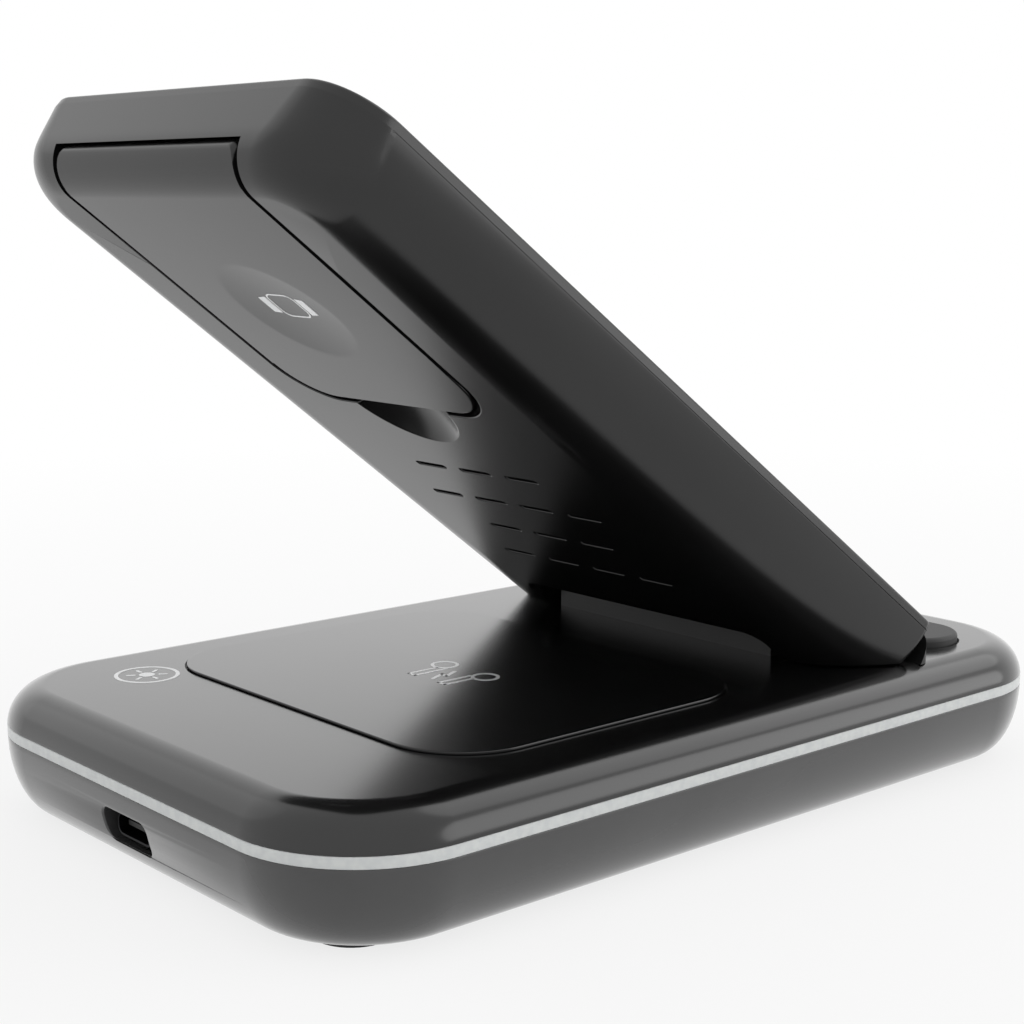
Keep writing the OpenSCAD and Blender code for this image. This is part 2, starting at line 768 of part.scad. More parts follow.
module phone_magnets() {
    color([0.7, 0.7, 0.72])
        on_panel() on_cover_plane() translate([0, phone_coil_along, -coil_t])
            for (i = [0:magnet_count - 1])
                rotate([0, 0, i * 360 / magnet_count]) translate([magnet_ring_r, 0, 0])
                    cylinder(r = magnet_r, h = coil_t);
}

module panel_circuit_board() {
    color([0.05, 0.3, 0.16])
        on_panel() translate([0, panel_board_along, panel_board_deep])
            plate(panel_board_w, panel_board_l, 1, board_t);
}

module flap_shell() {
    color([0.13, 0.13, 0.14])
        on_panel()
            difference() {
                intersection() {
                    flap_volume(flap_w, flap_from, flap_r, flap_t, barrel_r);
                    rotate([90, 0, 90]) linear_extrude(2 * flap_w, center = true) side_outline();
                }
                // Hollow for the coil, open towards the panel
                translate([0, 0, flap_skin]) linear_extrude(flap_t)
                    intersection() {
                        flap_plan(flap_w - 2 * flap_edge, flap_from + flap_edge, flap_r - flap_edge);
                        translate([-flap_w, 0]) square([2 * flap_w, flap_inside_to]);
                    }
                // Dished place for the watch
                translate([0, dish_along, dish_deep - dish_sphere_r]) sphere(r = dish_sphere_r, $fn = 128);
                translate([0, flap_axis_along, flap_axis_deep]) rotate([0, 90, 0])
                    cylinder(r = flap_pin_r, h = 2 * flap_w, center = true);
            }
}

module flap_back_cover() {
    color([0.12, 0.12, 0.13])
        on_panel()
            translate([0, 0, flap_t - flap_cover_t]) linear_extrude(flap_cover_t)
                intersection() {
                    flap_plan(flap_w - 2 * flap_edge - 0.1, flap_from + flap_edge + 0.05, flap_r - flap_edge);
                    translate([-flap_w, 0]) square([2 * flap_w, flap_inside_to - 0.05]);
                }
}

module flap_pin() {
    color([0.7, 0.7, 0.72])
        on_panel() translate([0, flap_axis_along, flap_axis_deep]) rotate([0, 90, 0])
            cylinder(r = flap_pin_r, h = flap_pin_l, center = true);
}

module watch_coil() {
    color([0.72, 0.43, 0.2])
        on_panel() translate([0, dish_along, flap_skin])
            flat_coil(watch_coil_r, watch_magnet_r + seat_gap, watch_coil_t);
}

module watch_magnet() {
    color([0.7, 0.7, 0.72])
        on_panel() translate([0, dish_along, flap_skin]) cylinder(r = watch_magnet_r, h = watch_coil_t);
}

module watch_ferrite() {
    color([0.2, 0.2, 0.2])
        on_panel() translate([0, dish_along, flap_skin + watch_coil_t])
            cylinder(r = watch_coil_r + 1, h = flap_t - flap_cover_t - flap_skin - watch_coil_t);
}

base_bottom_shell();
base_top_cover();
light_ring();
lamp_strip();
rubber_feet();
case_screws();
ballast_plate();
main_circuit_board();
power_socket();
socket_tongue();
touch_sensor();
earbud_pad();
earbud_coil();
earbud_ferrite();
phone_rest();
hinge_pedestal();
pedestal_screws();
hinge_shaft();
friction_washers();
panel_back_shell();
panel_front_cover();
hinge_bushes();
phone_coil();
phone_ferrite();
phone_magnets();
panel_circuit_board();
flap_shell();
flap_back_cover();
flap_pin();
watch_coil();
watch_ferrite();
watch_magnet();
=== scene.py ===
# %% [markdown]
# # A three in one charging stand
# The stand has a flat base with a pad for earbuds, a phone panel that tilts on a hinge, and a watch flap that lies
# flush in the panel's back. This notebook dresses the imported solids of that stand: it keeps the hidden parts as they
# are, builds the visible shells again as smooth meshes, and gives every piece a procedural material.
# We start by loading the solids. They come in at their real size, in metres, so every new piece is simply made where
# the real one is.

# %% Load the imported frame
import json
import math

import bmesh
import bpy
from mathutils import Matrix, Vector


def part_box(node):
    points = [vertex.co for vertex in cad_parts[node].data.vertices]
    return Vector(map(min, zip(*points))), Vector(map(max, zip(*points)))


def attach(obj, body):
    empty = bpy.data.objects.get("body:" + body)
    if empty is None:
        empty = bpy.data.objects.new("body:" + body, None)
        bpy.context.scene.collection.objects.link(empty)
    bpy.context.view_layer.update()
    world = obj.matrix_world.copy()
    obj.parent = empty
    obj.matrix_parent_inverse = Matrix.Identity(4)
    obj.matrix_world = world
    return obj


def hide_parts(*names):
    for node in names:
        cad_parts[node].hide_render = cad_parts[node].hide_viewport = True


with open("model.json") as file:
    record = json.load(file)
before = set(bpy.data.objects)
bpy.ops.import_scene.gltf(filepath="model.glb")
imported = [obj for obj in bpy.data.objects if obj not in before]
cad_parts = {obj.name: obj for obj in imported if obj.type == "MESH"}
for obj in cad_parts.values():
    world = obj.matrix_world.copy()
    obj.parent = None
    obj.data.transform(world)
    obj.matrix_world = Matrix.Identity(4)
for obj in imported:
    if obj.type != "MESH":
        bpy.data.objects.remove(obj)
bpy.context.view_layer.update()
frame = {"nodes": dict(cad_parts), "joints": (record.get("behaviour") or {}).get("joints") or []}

# %% [markdown]
# ## Sizes that the pieces share
# A designer reads most sizes off the solids, so that the dressed pieces can't drift away from them. What a box can't
# tell, such as a radius, is written here once, in millimetres.

# %% Sizes
MM = 0.001


def mm(*values):
    return Vector([value * MM for value in values])


base_low, base_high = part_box("base_bottom_shell")
ring_low, ring_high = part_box("light_ring")
pad_low, pad_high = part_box("earbud_pad")
rest_low, rest_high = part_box("phone_rest")
top_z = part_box("base_top_cover")[1].z

BASE_CORNER = 19.3 * MM
BOTTOM_INSET = 6.2 * MM
SHOULDER_INSET = 5.7 * MM
SHOULDER_LEAN = math.radians(5)
PAD_CORNER = 12 * MM
PAD_PROUD = 0.4 * MM
GAP = 0.3 * MM

PANEL_LONG = 133.4 * MM
PANEL_HALF, PANEL_TOP_HALF = 43.2 * MM, 38 * MM
PANEL_THICK = 15 * MM
PANEL_TAPER = math.radians(0.7)
PANEL_CORNER, CORNER_MORE = 9.2 * MM, 3.5 * MM
BACK_EDGE, BACK_EDGE_TOP = 14.2 * MM, 8 * MM
END_EDGE = 5.9 * MM
COVER_THICK = 1.5 * MM
HINGE_ALONG = 15.8 * MM
HINGE_DEEP = 7.4 * MM
OPEN_ANGLE = math.radians(37.2)

joints = {joint["name"]: joint for joint in frame["joints"]}
hinge = Vector(joints["panel_fold"]["pos_m"])
print("top of the base at", round(top_z * 1000, 2), "mm, hinge at", [round(v * 1000, 1) for v in hinge])

# %% [markdown]
# ## Tools for the meshes
# Most of the stand is one kind of shape: a rounded outline that grows or shrinks as it rises. Blender's operators do
# this well. Bevelling the corners of a single face, vertex by vertex, rounds an outline, and an inset that is moved
# up or down a little at a time turns the outline into a dome or a bowl.

# %% Outlines and domes
def rounded_face(bm, places, height, radii, segments=20):
    """A level face through the places, with a round corner at each of them."""
    corners = [bm.verts.new((x, y, height)) for x, y in places]
    bm.faces.new(corners)
    for corner, radius in zip(corners, radii):
        if radius > 0:
            bmesh.ops.bevel(
                bm, geom=[corner], offset=radius, offset_type="OFFSET", segments=segments, profile=0.5,
                affect="VERTICES", material=-1, clamp_overlap=False)
    bm.faces.ensure_lookup_table()
    return bm.faces[-1]


def rounded_outline(bm, low, high, height, radii, segments=20):
    """A rectangle with round corners, from the low corner on, anticlockwise."""
    places = [(low[0], low[1]), (high[0], low[1]), (high[0], high[1]), (low[0], high[1])]
    return rounded_face(bm, places, height, radii, segments)


def follow_profile(bm, face, profile):
    """Insets the face step by step. The profile holds the inset and the height reached, both counted from the start."""
    inset_before, height_before = 0.0, 0.0
    for inset, height in profile:
        bmesh.ops.inset_region(
            bm, faces=[face], thickness=inset - inset_before, depth=0, use_boundary=True, use_even_offset=True)
        bmesh.ops.translate(bm, verts=face.verts, vec=(0, 0, height - height_before))
        inset_before, height_before = inset, height
    return face


def close_holes(bm):
    edges = [edge for edge in bm.edges if edge.is_boundary]
    bmesh.ops.holes_fill(bm, edges=edges, sides=0)


def raise_wall(bm, face, height):
    """Pulls the face up and keeps the face below, so that the result is a closed block."""
    made = bmesh.ops.extrude_face_region(bm, geom=[face], use_keep_orig=True)
    top = [item for item in made["geom"] if isinstance(item, bmesh.types.BMFace)]
    bmesh.ops.translate(bm, verts=list({v for f in top for v in f.verts}), vec=(0, 0, height))
    return top[0]


# %% [markdown]
# ## From mesh to piece
# A cut, such as the socket's opening or a vent, is a Boolean modifier that is applied at once. Afterwards every edge
# that is still sharp gets a tiny round, because real mouldings have one and it catches the light. The Weighted Normal
# modifier then keeps the big faces flat while the narrow rounds between them shade smoothly.

# %% Objects and cuts
def loose_object(bm, name):
    """Turns the bmesh into an object whose faces point outwards."""
    bmesh.ops.recalc_face_normals(bm, faces=bm.faces)
    mesh = bpy.data.meshes.new(name)
    bm.to_mesh(mesh)
    bm.free()
    made = bpy.data.objects.new(name, mesh)
    bpy.context.scene.collection.objects.link(made)
    return made


def combine(piece, tool, operation):
    """Applies a Boolean of two objects to the first one, and removes the second."""
    step = piece.modifiers.new("combine", "BOOLEAN")
    step.object, step.operation, step.solver = tool, operation, "EXACT"
    bpy.context.view_layer.update()
    graph = bpy.context.evaluated_depsgraph_get()
    shaped = bpy.data.meshes.new_from_object(piece.evaluated_get(graph))
    piece.modifiers.clear()
    old, piece.data = piece.data, shaped
    bpy.data.meshes.remove(old)
    bpy.data.objects.remove(tool)
    return piece


# %% Round the edges
def round_edges(piece, width, segments=2, sharper_than=32, where=None):
    """Rounds the sharp edges, or those of them that the test in `where` picks."""
    bm = bmesh.new()
    bm.from_mesh(piece.data)
    bmesh.ops.remove_doubles(bm, verts=bm.verts, dist=0.01 * MM)
    bmesh.ops.dissolve_degenerate(bm, edges=bm.edges, dist=0.005 * MM)
    sharp = [
        edge for edge in bm.edges
        if len(edge.link_faces) == 2 and edge.calc_face_angle() > math.radians(sharper_than)
        and (where is None or where(edge))]
    bmesh.ops.bevel(
        bm, geom=sharp, offset=width, offset_type="OFFSET", segments=segments, profile=0.5, affect="EDGES",
        material=-1, clamp_overlap=False, loop_slide=True)
    bm.to_mesh(piece.data)
    bm.free()
    return piece


# %% Shade and dress
def shade(piece, sharper_than=34, weighted=True):
    """Shades the piece smooth, except over edges that are sharper than the angle."""
    bm = bmesh.new()
    bm.from_mesh(piece.data)
    for face in bm.faces:
        face.smooth = True
    for edge in bm.edges:
        edge.smooth = not (len(edge.link_faces) == 2 and edge.calc_face_angle() > math.radians(sharper_than))
    bm.to_mesh(piece.data)
    bm.free()
    if weighted:
        step = piece.modifiers.new("weighted normals", "WEIGHTED_NORMAL")
        step.mode, step.weight, step.keep_sharp = "FACE_AREA", 50, True


def dress(piece, body, material, stands_for=(), weighted=True):
    """Gives the piece its shading, its material and the body that it moves with, and hides the solids that it stands
    for.
    """
    shade(piece, weighted=weighted)
    piece.data.materials.clear()
    piece.data.materials.append(material)
    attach(piece, body)
    if stands_for:
        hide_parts(*stands_for)
    low = Vector([min(v.co[i] for v in piece.data.vertices) for i in range(3)])
    high = Vector([max(v.co[i] for v in piece.data.vertices) for i in range(3)])
    print(piece.name, [round(v * 1000, 1) for v in high - low], "mm,", len(piece.data.polygons), "faces")
    return piece


# %% [markdown]
# ## Materials
# The shells are moulded in a dark satin plastic. Its look is nearly all reflection: a very dark base colour, a middling
# roughness, and an extremely fine grain that a spark-eroded mould leaves. We build that grain from noise on Object
# coordinates, which are metres here, so a scale of 3000 gives a grain of about a third of a millimetre. The base's
# plastics also get a coat of low index: it hardly shows from above, but brightens what is seen at a flat angle.

# %% Helpers for nodes
def new_material(name):
    material = bpy.data.materials.new(name)
    material.use_nodes = True
    nodes, links = material.node_tree.nodes, material.node_tree.links
    return material, nodes, links, nodes["Principled BSDF"]


def noise_on_object(nodes, links, scale, detail=2.0, roughness=0.5):
    place = nodes.new("ShaderNodeTexCoord")
    noise = nodes.new("ShaderNodeTexNoise")
    noise.inputs["Scale"].default_value = scale
    noise.inputs["Detail"].default_value = detail
    noise.inputs["Roughness"].default_value = roughness
    links.new(place.outputs["Object"], noise.inputs["Vector"])
    return noise


def blend_of(nodes, links, factor, low, high):
    """Runs from the low colour to the high one over the middle third of the factor."""
    ramp = nodes.new("ShaderNodeValToRGB")
    ramp.color_ramp.elements[0].color = low
    ramp.color_ramp.elements[1].color = high
    ramp.color_ramp.elements[0].position = 0.35
    ramp.color_ramp.elements[1].position = 0.65
    links.new(factor, ramp.inputs["Fac"])
    return ramp.outputs["Color"]


def grey(value):
    """A grey with a trace of blue, as dark plastic has."""
    return (value, value, value * 1.01, 1)


# %% Satin plastic
def coat(surface, weight):
    """A clear layer of low index over the surface."""
    surface.inputs["Coat Weight"].default_value = weight
    surface.inputs["Coat Roughness"].default_value = 0.16
    surface.inputs["Coat IOR"].default_value = 1.3


def satin_plastic(name, tone, roughness, grain=0.06, gloss=0.0):
    tone_spread, roughness_spread = 0.12, 0.02
    material, nodes, links, surface = new_material(name)
    coat(surface, gloss)
    cloud = noise_on_object(nodes, links, 60, 3)
    dark, light = grey(tone * (1 - tone_spread)), grey(tone * (1 + tone_spread))
    links.new(blend_of(nodes, links, cloud.outputs["Fac"], dark, light), surface.inputs["Base Color"])
    span = nodes.new("ShaderNodeMapRange")
    span.inputs["To Min"].default_value = roughness - roughness_spread
    span.inputs["To Max"].default_value = roughness + roughness_spread
    links.new(cloud.outputs["Fac"], span.inputs["Value"])
    links.new(span.outputs["Result"], surface.inputs["Roughness"])
    fine = noise_on_object(nodes, links, 3000, 2)
    bump = nodes.new("ShaderNodeBump")
    bump.inputs["Strength"].default_value = grain
    bump.inputs["Distance"].default_value = 0.02 * MM
    links.new(fine.outputs["Fac"], bump.inputs["Height"])
    links.new(bump.outputs["Normal"], surface.inputs["Normal"])
    return material


lower_plastic = satin_plastic("lower shell plastic", 0.04, 0.25, grain=0.03, gloss=1.0)
upper_plastic = satin_plastic("upper shell plastic", 0.005, 0.18, grain=0.015, gloss=0.8)
panel_plastic = satin_plastic("panel plastic", 0.006, 0.22, grain=0.02)
flap_plastic = satin_plastic("flap plastic", 0.007, 0.22, grain=0.02)
pad_plastic = satin_plastic("pad plastic", 0.005, 0.18, grain=0.015, gloss=0.75)
hinge_plastic = satin_plastic("hinge plastic", 0.006, 0.3)
rest_rubber = satin_plastic("rest rubber", 0.02, 0.5, grain=0.12)
foot_rubber = satin_plastic("foot rubber", 0.02, 0.7, grain=0.3)
socket_dark = satin_plastic("socket lining", 0.008, 0.5)
ferrite_black = satin_plastic("ferrite", 0.05, 0.6, grain=0.3)
print("satin plastics made")

# %% [markdown]
# The light ring is a clear, slightly milky plastic. It isn't lit in the photograph, so it gets no glow of its own,
# only a bright base colour, a little light that travels under its surface, and a fine clouding.

# %% Light ring plastic
def milky_plastic(name):
    material, nodes, links, surface = new_material(name)
    spots = noise_on_object(nodes, links, 900, 1)
    links.new(blend_of(nodes, links, spots.outputs["Fac"], (0.62, 0.64, 0.64, 1), (0.68, 0.7, 0.69, 1)),
              surface.inputs["Base Color"])
    surface.inputs["Roughness"].default_value = 0.3
    surface.inputs["Subsurface Weight"].default_value = 0.25
    surface.inputs["Subsurface Radius"].default_value = (0.001, 0.001, 0.001)
    surface.inputs["Subsurface Scale"].default_value = 1.0
    return material


ring_plastic = milky_plastic("light ring plastic")
print(ring_plastic.name, "made")

# %% [markdown]
# Metals show their finish in streaks. Turned and drawn parts get a noise that is stretched along X, the axis that both
# pins lie on. Copper coils get fine rings, which is how a wound wire reads from close up.

# %% Metal
def metal(name, colour, roughness, streaks=900):
    material, nodes, links, surface = new_material(name)
    place = nodes.new("ShaderNodeTexCoord")
    stretch = nodes.new("ShaderNodeMapping")
    stretch.inputs["Scale"].default_value = (0.05, 1, 1)
    noise = nodes.new("ShaderNodeTexNoise")
    noise.inputs["Scale"].default_value = streaks
    links.new(place.outputs["Object"], stretch.inputs["Vector"])
    links.new(stretch.outputs["Vector"], noise.inputs["Vector"])
    low = tuple(c * 0.85 for c in colour) + (1,)
    links.new(blend_of(nodes, links, noise.outputs["Fac"], low, tuple(colour) + (1,)), surface.inputs["Base Color"])
    surface.inputs["Metallic"].default_value = 1.0
    surface.inputs["Roughness"].default_value = roughness
    return material


# %% Speckled and wound materials
def plain_with_speckle(name, low, high, roughness, scale=400):
    material, nodes, links, surface = new_material(name)
    noise = noise_on_object(nodes, links, scale, 3)
    links.new(blend_of(nodes, links, noise.outputs["Fac"], low + (1,), high + (1,)), surface.inputs["Base Color"])
    surface.inputs["Roughness"].default_value = roughness
    return material


def coil_of_wire(name, centre):
    material, nodes, links, surface = new_material(name)
    place = nodes.new("ShaderNodeTexCoord")
    middle = nodes.new("ShaderNodeMapping")
    middle.inputs["Location"].default_value = -Vector(centre)
    rings = nodes.new("ShaderNodeTexWave")
    rings.wave_type, rings.rings_direction = "RINGS", "SPHERICAL"
    rings.inputs["Scale"].default_value = 500
    links.new(place.outputs["Object"], middle.inputs["Vector"])
    links.new(middle.outputs["Vector"], rings.inputs["Vector"])
    links.new(blend_of(nodes, links, rings.outputs["Fac"], (0.35, 0.12, 0.04, 1), (0.75, 0.38, 0.2, 1)),
              surface.inputs["Base Color"])
    surface.inputs["Metallic"].default_value = 1.0
    surface.inputs["Roughness"].default_value = 0.35
    return material


# %% Metals, boards and ink
pin_steel = metal("pin steel", (0.62, 0.62, 0.64), 0.28)
screw_steel = metal("screw steel", (0.6, 0.6, 0.62), 0.35)
# The socket's sleeve is steel, but its colour is set near black: painted shade of the pocket that it stands in.
socket_steel_painted_shade = metal("socket steel with painted shade", (0.018, 0.018, 0.02), 0.45)
magnet_nickel = metal("magnet nickel", (0.66, 0.64, 0.6), 0.22)
bush_brass = metal("bush brass", (0.7, 0.5, 0.22), 0.3)
board_green = plain_with_speckle("board green", (0.01, 0.11, 0.05), (0.02, 0.16, 0.07), 0.35)
lamp_film = plain_with_speckle("lamp film", (0.7, 0.66, 0.5), (0.85, 0.82, 0.7), 0.4)
mark_ink = plain_with_speckle("mark ink", (0.88, 0.89, 0.9), (0.96, 0.97, 0.98), 0.18)
coat(mark_ink.node_tree.nodes["Principled BSDF"], 1.0)
print("metals, boards and ink made")

# %% [markdown]
# ## The hidden and the exact parts keep their solids
# Screws, pins, coils and boards are already the right shape, so they only get a material.

# %% Materials for the parts that stay
def centre_of(node):
    low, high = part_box(node)
    return (low + high) / 2


plain_parts = {
    "lamp_strip": lamp_film, "rubber_feet": foot_rubber, "case_screws": screw_steel, "ballast_plate": screw_steel,
    "main_circuit_board": board_green, "power_socket": socket_steel_painted_shade, "socket_tongue": socket_dark,
    "touch_sensor": bush_brass, "earbud_ferrite": ferrite_black, "hinge_pedestal": hinge_plastic,
    "pedestal_screws": screw_steel, "hinge_shaft": pin_steel, "friction_washers": pin_steel,
    "hinge_bushes": bush_brass, "phone_ferrite": ferrite_black, "phone_magnets": magnet_nickel,
    "panel_circuit_board": board_green, "flap_back_cover": flap_plastic, "flap_pin": pin_steel,
    "watch_ferrite": ferrite_black, "watch_magnet": magnet_nickel}
for coil in ("earbud_coil", "phone_coil", "watch_coil"):
    plain_parts[coil] = coil_of_wire(coil.replace("_", " ") + " wire", centre_of(coil))
for node, material in plain_parts.items():
    solid = frame["nodes"][node]
    solid.data.materials.clear()
    solid.data.materials.append(material)
print(len(plain_parts), "solids keep their shape")

# %% [markdown]
# ## The base's lower shell
# Seen from the side, the lower shell is a bowl: a quarter of an ellipse from the flat underside up to the light ring.
# We start from the outline at the ring, turn it face down, and let it follow that quarter. The other way would be a
# cube with a bevel modifier, but a bevel can only make circles, and this curve is taller than it is wide.

# %% Lower shell
def bowl_profile(inset, drop, steps=24):
    angles = [math.pi / 2 * i / steps for i in range(1, steps + 1)]
    return [(inset * (1 - math.cos(a)), -drop * math.sin(a)) for a in angles]


def outline_of(low, high, height, radius, grow=0.0):
    """The outline of a box with round corners, wider by `grow` all round."""
    bm = bmesh.new()
    face = rounded_outline(
        bm, (low.x - grow, low.y - grow), (high.x + grow, high.y + grow), height, [radius + grow] * 4)
    return bm, face


bm, seam_face = outline_of(base_low, base_high, base_high.z, BASE_CORNER)
follow_profile(bm, seam_face, bowl_profile(BOTTOM_INSET, base_high.z - base_low.z))
close_holes(bm)
lower_shell = loose_object(bm, "lower_shell")
print("lower shell has", len(lower_shell.data.polygons), "faces")

# %% [markdown]
# The socket's opening is a rounded slot in the rear wall. A block with round ends is pushed through the wall as a
# cutter. The cut reaches past the steel sleeve, which then stands in a dark pocket as it does on the real stand. The
# sleeve's near-black colour is painted shade of that pocket, not the colour of steel.

# %% Socket opening
SOCKET_MIDDLE = 7.2 * MM
SOCKET_HALF_WIDE, SOCKET_HALF_TALL, SOCKET_CORNER = 5.8 * MM, 2.4 * MM, 1.6 * MM
SOCKET_INNER_Y, SOCKET_OUTER_Y = 64.5 * MM, 80 * MM


def socket_block():
    bm = bmesh.new()
    face = rounded_outline(
        bm, (-SOCKET_HALF_WIDE, -SOCKET_HALF_TALL), (SOCKET_HALF_WIDE, SOCKET_HALF_TALL), 0, [SOCKET_CORNER] * 4, 8)
    raise_wall(bm, face, SOCKET_OUTER_Y - SOCKET_INNER_Y)
    turn = Matrix.Rotation(math.radians(90), 4, "X")
    bmesh.ops.transform(bm, matrix=Matrix.Translation((0, SOCKET_OUTER_Y, SOCKET_MIDDLE)) @ turn, verts=bm.verts)
    return loose_object(bm, "socket_opening")


combine(lower_shell, socket_block(), "DIFFERENCE")


def near_socket(edge):
    """True for the rim of the opening in the outside of the wall."""
    middle = (edge.verts[0].co + edge.verts[1].co) / 2
    return middle.y > 72.5 * MM and abs(middle.x) < 6.5 * MM and middle.z < 10.2 * MM


round_edges(lower_shell, 0.28 * MM, 3, 30, near_socket)
round_edges(lower_shell, 0.12 * MM, 2, 40, lambda edge: edge.verts[0].co.z > base_high.z - 0.05 * MM)
dress(lower_shell, "base", lower_plastic, ["base_bottom_shell"], weighted=False)

# %% [markdown]
# ## Light ring
# The ring is a flat band, flush with both shells. An inset of the outline gives its width and an extrusion its height.

# %% Light ring
RING_WIDTH = 3 * MM


def band(low, high, bottom, top, radius, width):
    bm, face = outline_of(low, high, bottom, radius)
    bmesh.ops.inset_region(bm, faces=[face], thickness=width, depth=0, use_boundary=True, use_even_offset=True)
    bmesh.ops.delete(bm, geom=[face], context="FACES")
    made = bmesh.ops.extrude_face_region(bm, geom=list(bm.faces), use_keep_orig=True)
    bmesh.ops.translate(
        bm, verts=[item for item in made["geom"] if isinstance(item, bmesh.types.BMVert)], vec=(0, 0, top - bottom))
    return bm


light_ring = loose_object(
    band(ring_low, ring_high, ring_low.z, ring_high.z, BASE_CORNER, RING_WIDTH), "ring_of_light")
round_edges(light_ring, 0.08 * MM, 2, 40)
dress(light_ring, "base", ring_plastic, ["light_ring"])

# %% [markdown]
# ## The base's top cover
# Above the ring the cover leans in along an arc that runs out level into the flat top. The same inset-and-lift helper
# makes it. The pad and the phone rest sit in shallow pockets that leave a thin dark gap round them, and both pockets
# are cut with blocks that are a gap larger than the piece.

# %% Top cover
def shoulder_profile(inset, rise, lean, steps=16):
    chord = math.atan2(inset, rise)
    end = min(math.pi / 2, 2 * chord - lean)
    radius = rise / (math.sin(end) - math.sin(lean))
    angles = [lean + (end - lean) * i / steps for i in range(1, steps + 1)]
    return [(radius * (math.cos(lean) - math.cos(a)), radius * (math.sin(a) - math.sin(lean))) for a in angles]


def pocket_block(low, high, radius, floor, top):
    bm, face = outline_of(low, high, floor, radius, GAP)
    raise_wall(bm, face, top - floor)
    return loose_object(bm, "pocket")


bm, rim_face = outline_of(ring_low, ring_high, ring_high.z, BASE_CORNER)
follow_profile(bm, rim_face, shoulder_profile(SHOULDER_INSET, top_z - ring_high.z, SHOULDER_LEAN))
close_holes(bm)
top_cover = loose_object(bm, "top_cover")
combine(top_cover, pocket_block(pad_low, pad_high, PAD_CORNER, pad_low.z, top_z + MM), "DIFFERENCE")
rest_radius = (rest_high.y - rest_low.y) / 2 - 0.02 * MM
combine(top_cover, pocket_block(rest_low, rest_high, rest_radius, rest_low.z, top_z + MM), "DIFFERENCE")
round_edges(top_cover, 0.15 * MM, 2, 25)
dress(top_cover, "base", upper_plastic, ["base_top_cover"])

# %% [markdown]
# ## Earbud pad and phone rest
# Both are simple moulded slabs whose top edge is softened all round, so they are raised from their outline and then
# given a round edge at the top.

# %% Pad and rest
def slab(low, high, radius, edge, name):
    bm, face = outline_of(low, high, low.z, radius)
    raise_wall(bm, face, high.z - low.z)
    made = loose_object(bm, name)
    round_edges(made, edge, 4, 40, lambda e: min(v.co.z for v in e.verts) > high.z - 0.05 * MM)
    return made


pad_high.z = top_z + PAD_PROUD
earbud_place = slab(pad_low, pad_high, PAD_CORNER, 0.12 * MM, "earbud_place")
dress(earbud_place, "base", pad_plastic, ["earbud_pad"])
phone_ledge = slab(rest_low, rest_high, rest_radius, 0.7 * MM, "phone_ledge")
dress(phone_ledge, "base", rest_rubber, ["phone_rest"])

# %% [markdown]
# ## The phone panel
# The panel's back has a wide round along its long sides, a smaller one at its top end, and round corners in plan. The
# whole panel also gets narrower and thinner towards the top. One bevel can't do that, so the panel is lofted. We draw
# its outline at many depths, from the back face forwards, tilt each outline a little more than the one before, and
# bridge each to the next.

# %% Outlines of the panel
front_at_top = PANEL_THICK - PANEL_LONG * math.tan(PANEL_TAPER)
seam_low, seam_top = PANEL_THICK - COVER_THICK, front_at_top - COVER_THICK
LOWER_CORNER = 1.5 * MM
print("the seam lies", round(seam_low / MM, 2), "mm deep at the hinge end and", round(seam_top / MM, 2), "at the top")


def edge_inset(radius, depth):
    """How far a quarter round of this radius stands back at a depth below the face."""
    return radius - math.sqrt(radius ** 2 - (radius - depth) ** 2) if depth < radius else 0.0


def panel_outline(bm, depth_low, depth_top, half_low, half_top, end, corner):
    """An outline that lies at one depth at the hinge end and at another at the top end."""
    narrow = (half_low - half_top) / (end - corner) * end
    face = rounded_face(
        bm, [(-half_low, 0), (half_low, 0), (half_low - narrow, end), (narrow - half_low, end)], depth_low,
        [LOWER_CORNER, LOWER_CORNER, corner, corner], 16)
    for vert in face.verts:
        vert.co.z += (depth_top - depth_low) * vert.co.y / PANEL_LONG
    return face


def bridge(bm, outlines):
    """Joins each outline's rim to the next one's, and closes the first and the last."""
    rims = [list(face.edges) for face in outlines]
    bmesh.ops.delete(bm, geom=outlines[1:-1], context="FACES_ONLY")
    for lower, upper in zip(rims, rims[1:]):
        bmesh.ops.bridge_loops(bm, edges=lower + upper)


# %% Loft of the back
def lofted_back(name, steps=28):
    bm = bmesh.new()
    outlines = []
    for i in range(steps + 1):
        share = 1 - math.cos(math.pi / 2 * i / steps)
        low, top = share * seam_low, share * seam_top
        half_low = PANEL_HALF - edge_inset(BACK_EDGE, low)
        half_top = PANEL_TOP_HALF - edge_inset(BACK_EDGE_TOP, top)
        end = PANEL_LONG - edge_inset(END_EDGE, top)
        corner = PANEL_CORNER + CORNER_MORE * (1 - share) - (PANEL_TOP_HALF - half_top + PANEL_LONG - end) / 2
        outlines.append(panel_outline(bm, low, top, half_low, half_top, end, max(0.8 * MM, corner)))
    bridge(bm, outlines)
    return loose_object(bm, name)


back_shell = lofted_back("back_shell")
print("back of the panel lofted from", len(back_shell.data.polygons), "faces")

# %% [markdown]
# The front cover is a second loft that starts where the first one ends. Its rim leans in a little, so that a fine line
# of light marks the seam, and its front edge is rounded where a thumb and a phone touch it.

# %% Loft of the front cover
def cover_profile(lean=0.1, round_wide=0.6, round_tall=0.6, steps=6):
    """Steps of inset and rise over the cover's rim, in millimetres."""
    straight = COVER_THICK / MM - round_tall
    angles = [math.pi / 2 * i / steps for i in range(1, steps + 1)]
    return [(0, 0), (lean, straight)] + [
        (lean + round_wide * (1 - math.cos(a)), straight + round_tall * math.sin(a)) for a in angles]


bm = bmesh.new()
rim = []
for inset, rise in cover_profile():
    inset, rise = inset * MM, rise * MM
    rim.append(panel_outline(
        bm, seam_low + rise, seam_top + rise, PANEL_HALF - inset, PANEL_TOP_HALF - inset, PANEL_LONG - inset,
        PANEL_CORNER - inset))
bridge(bm, rim)
front_cover = loose_object(bm, "front_cover")
print("front cover lofted from", len(front_cover.data.polygons), "faces")

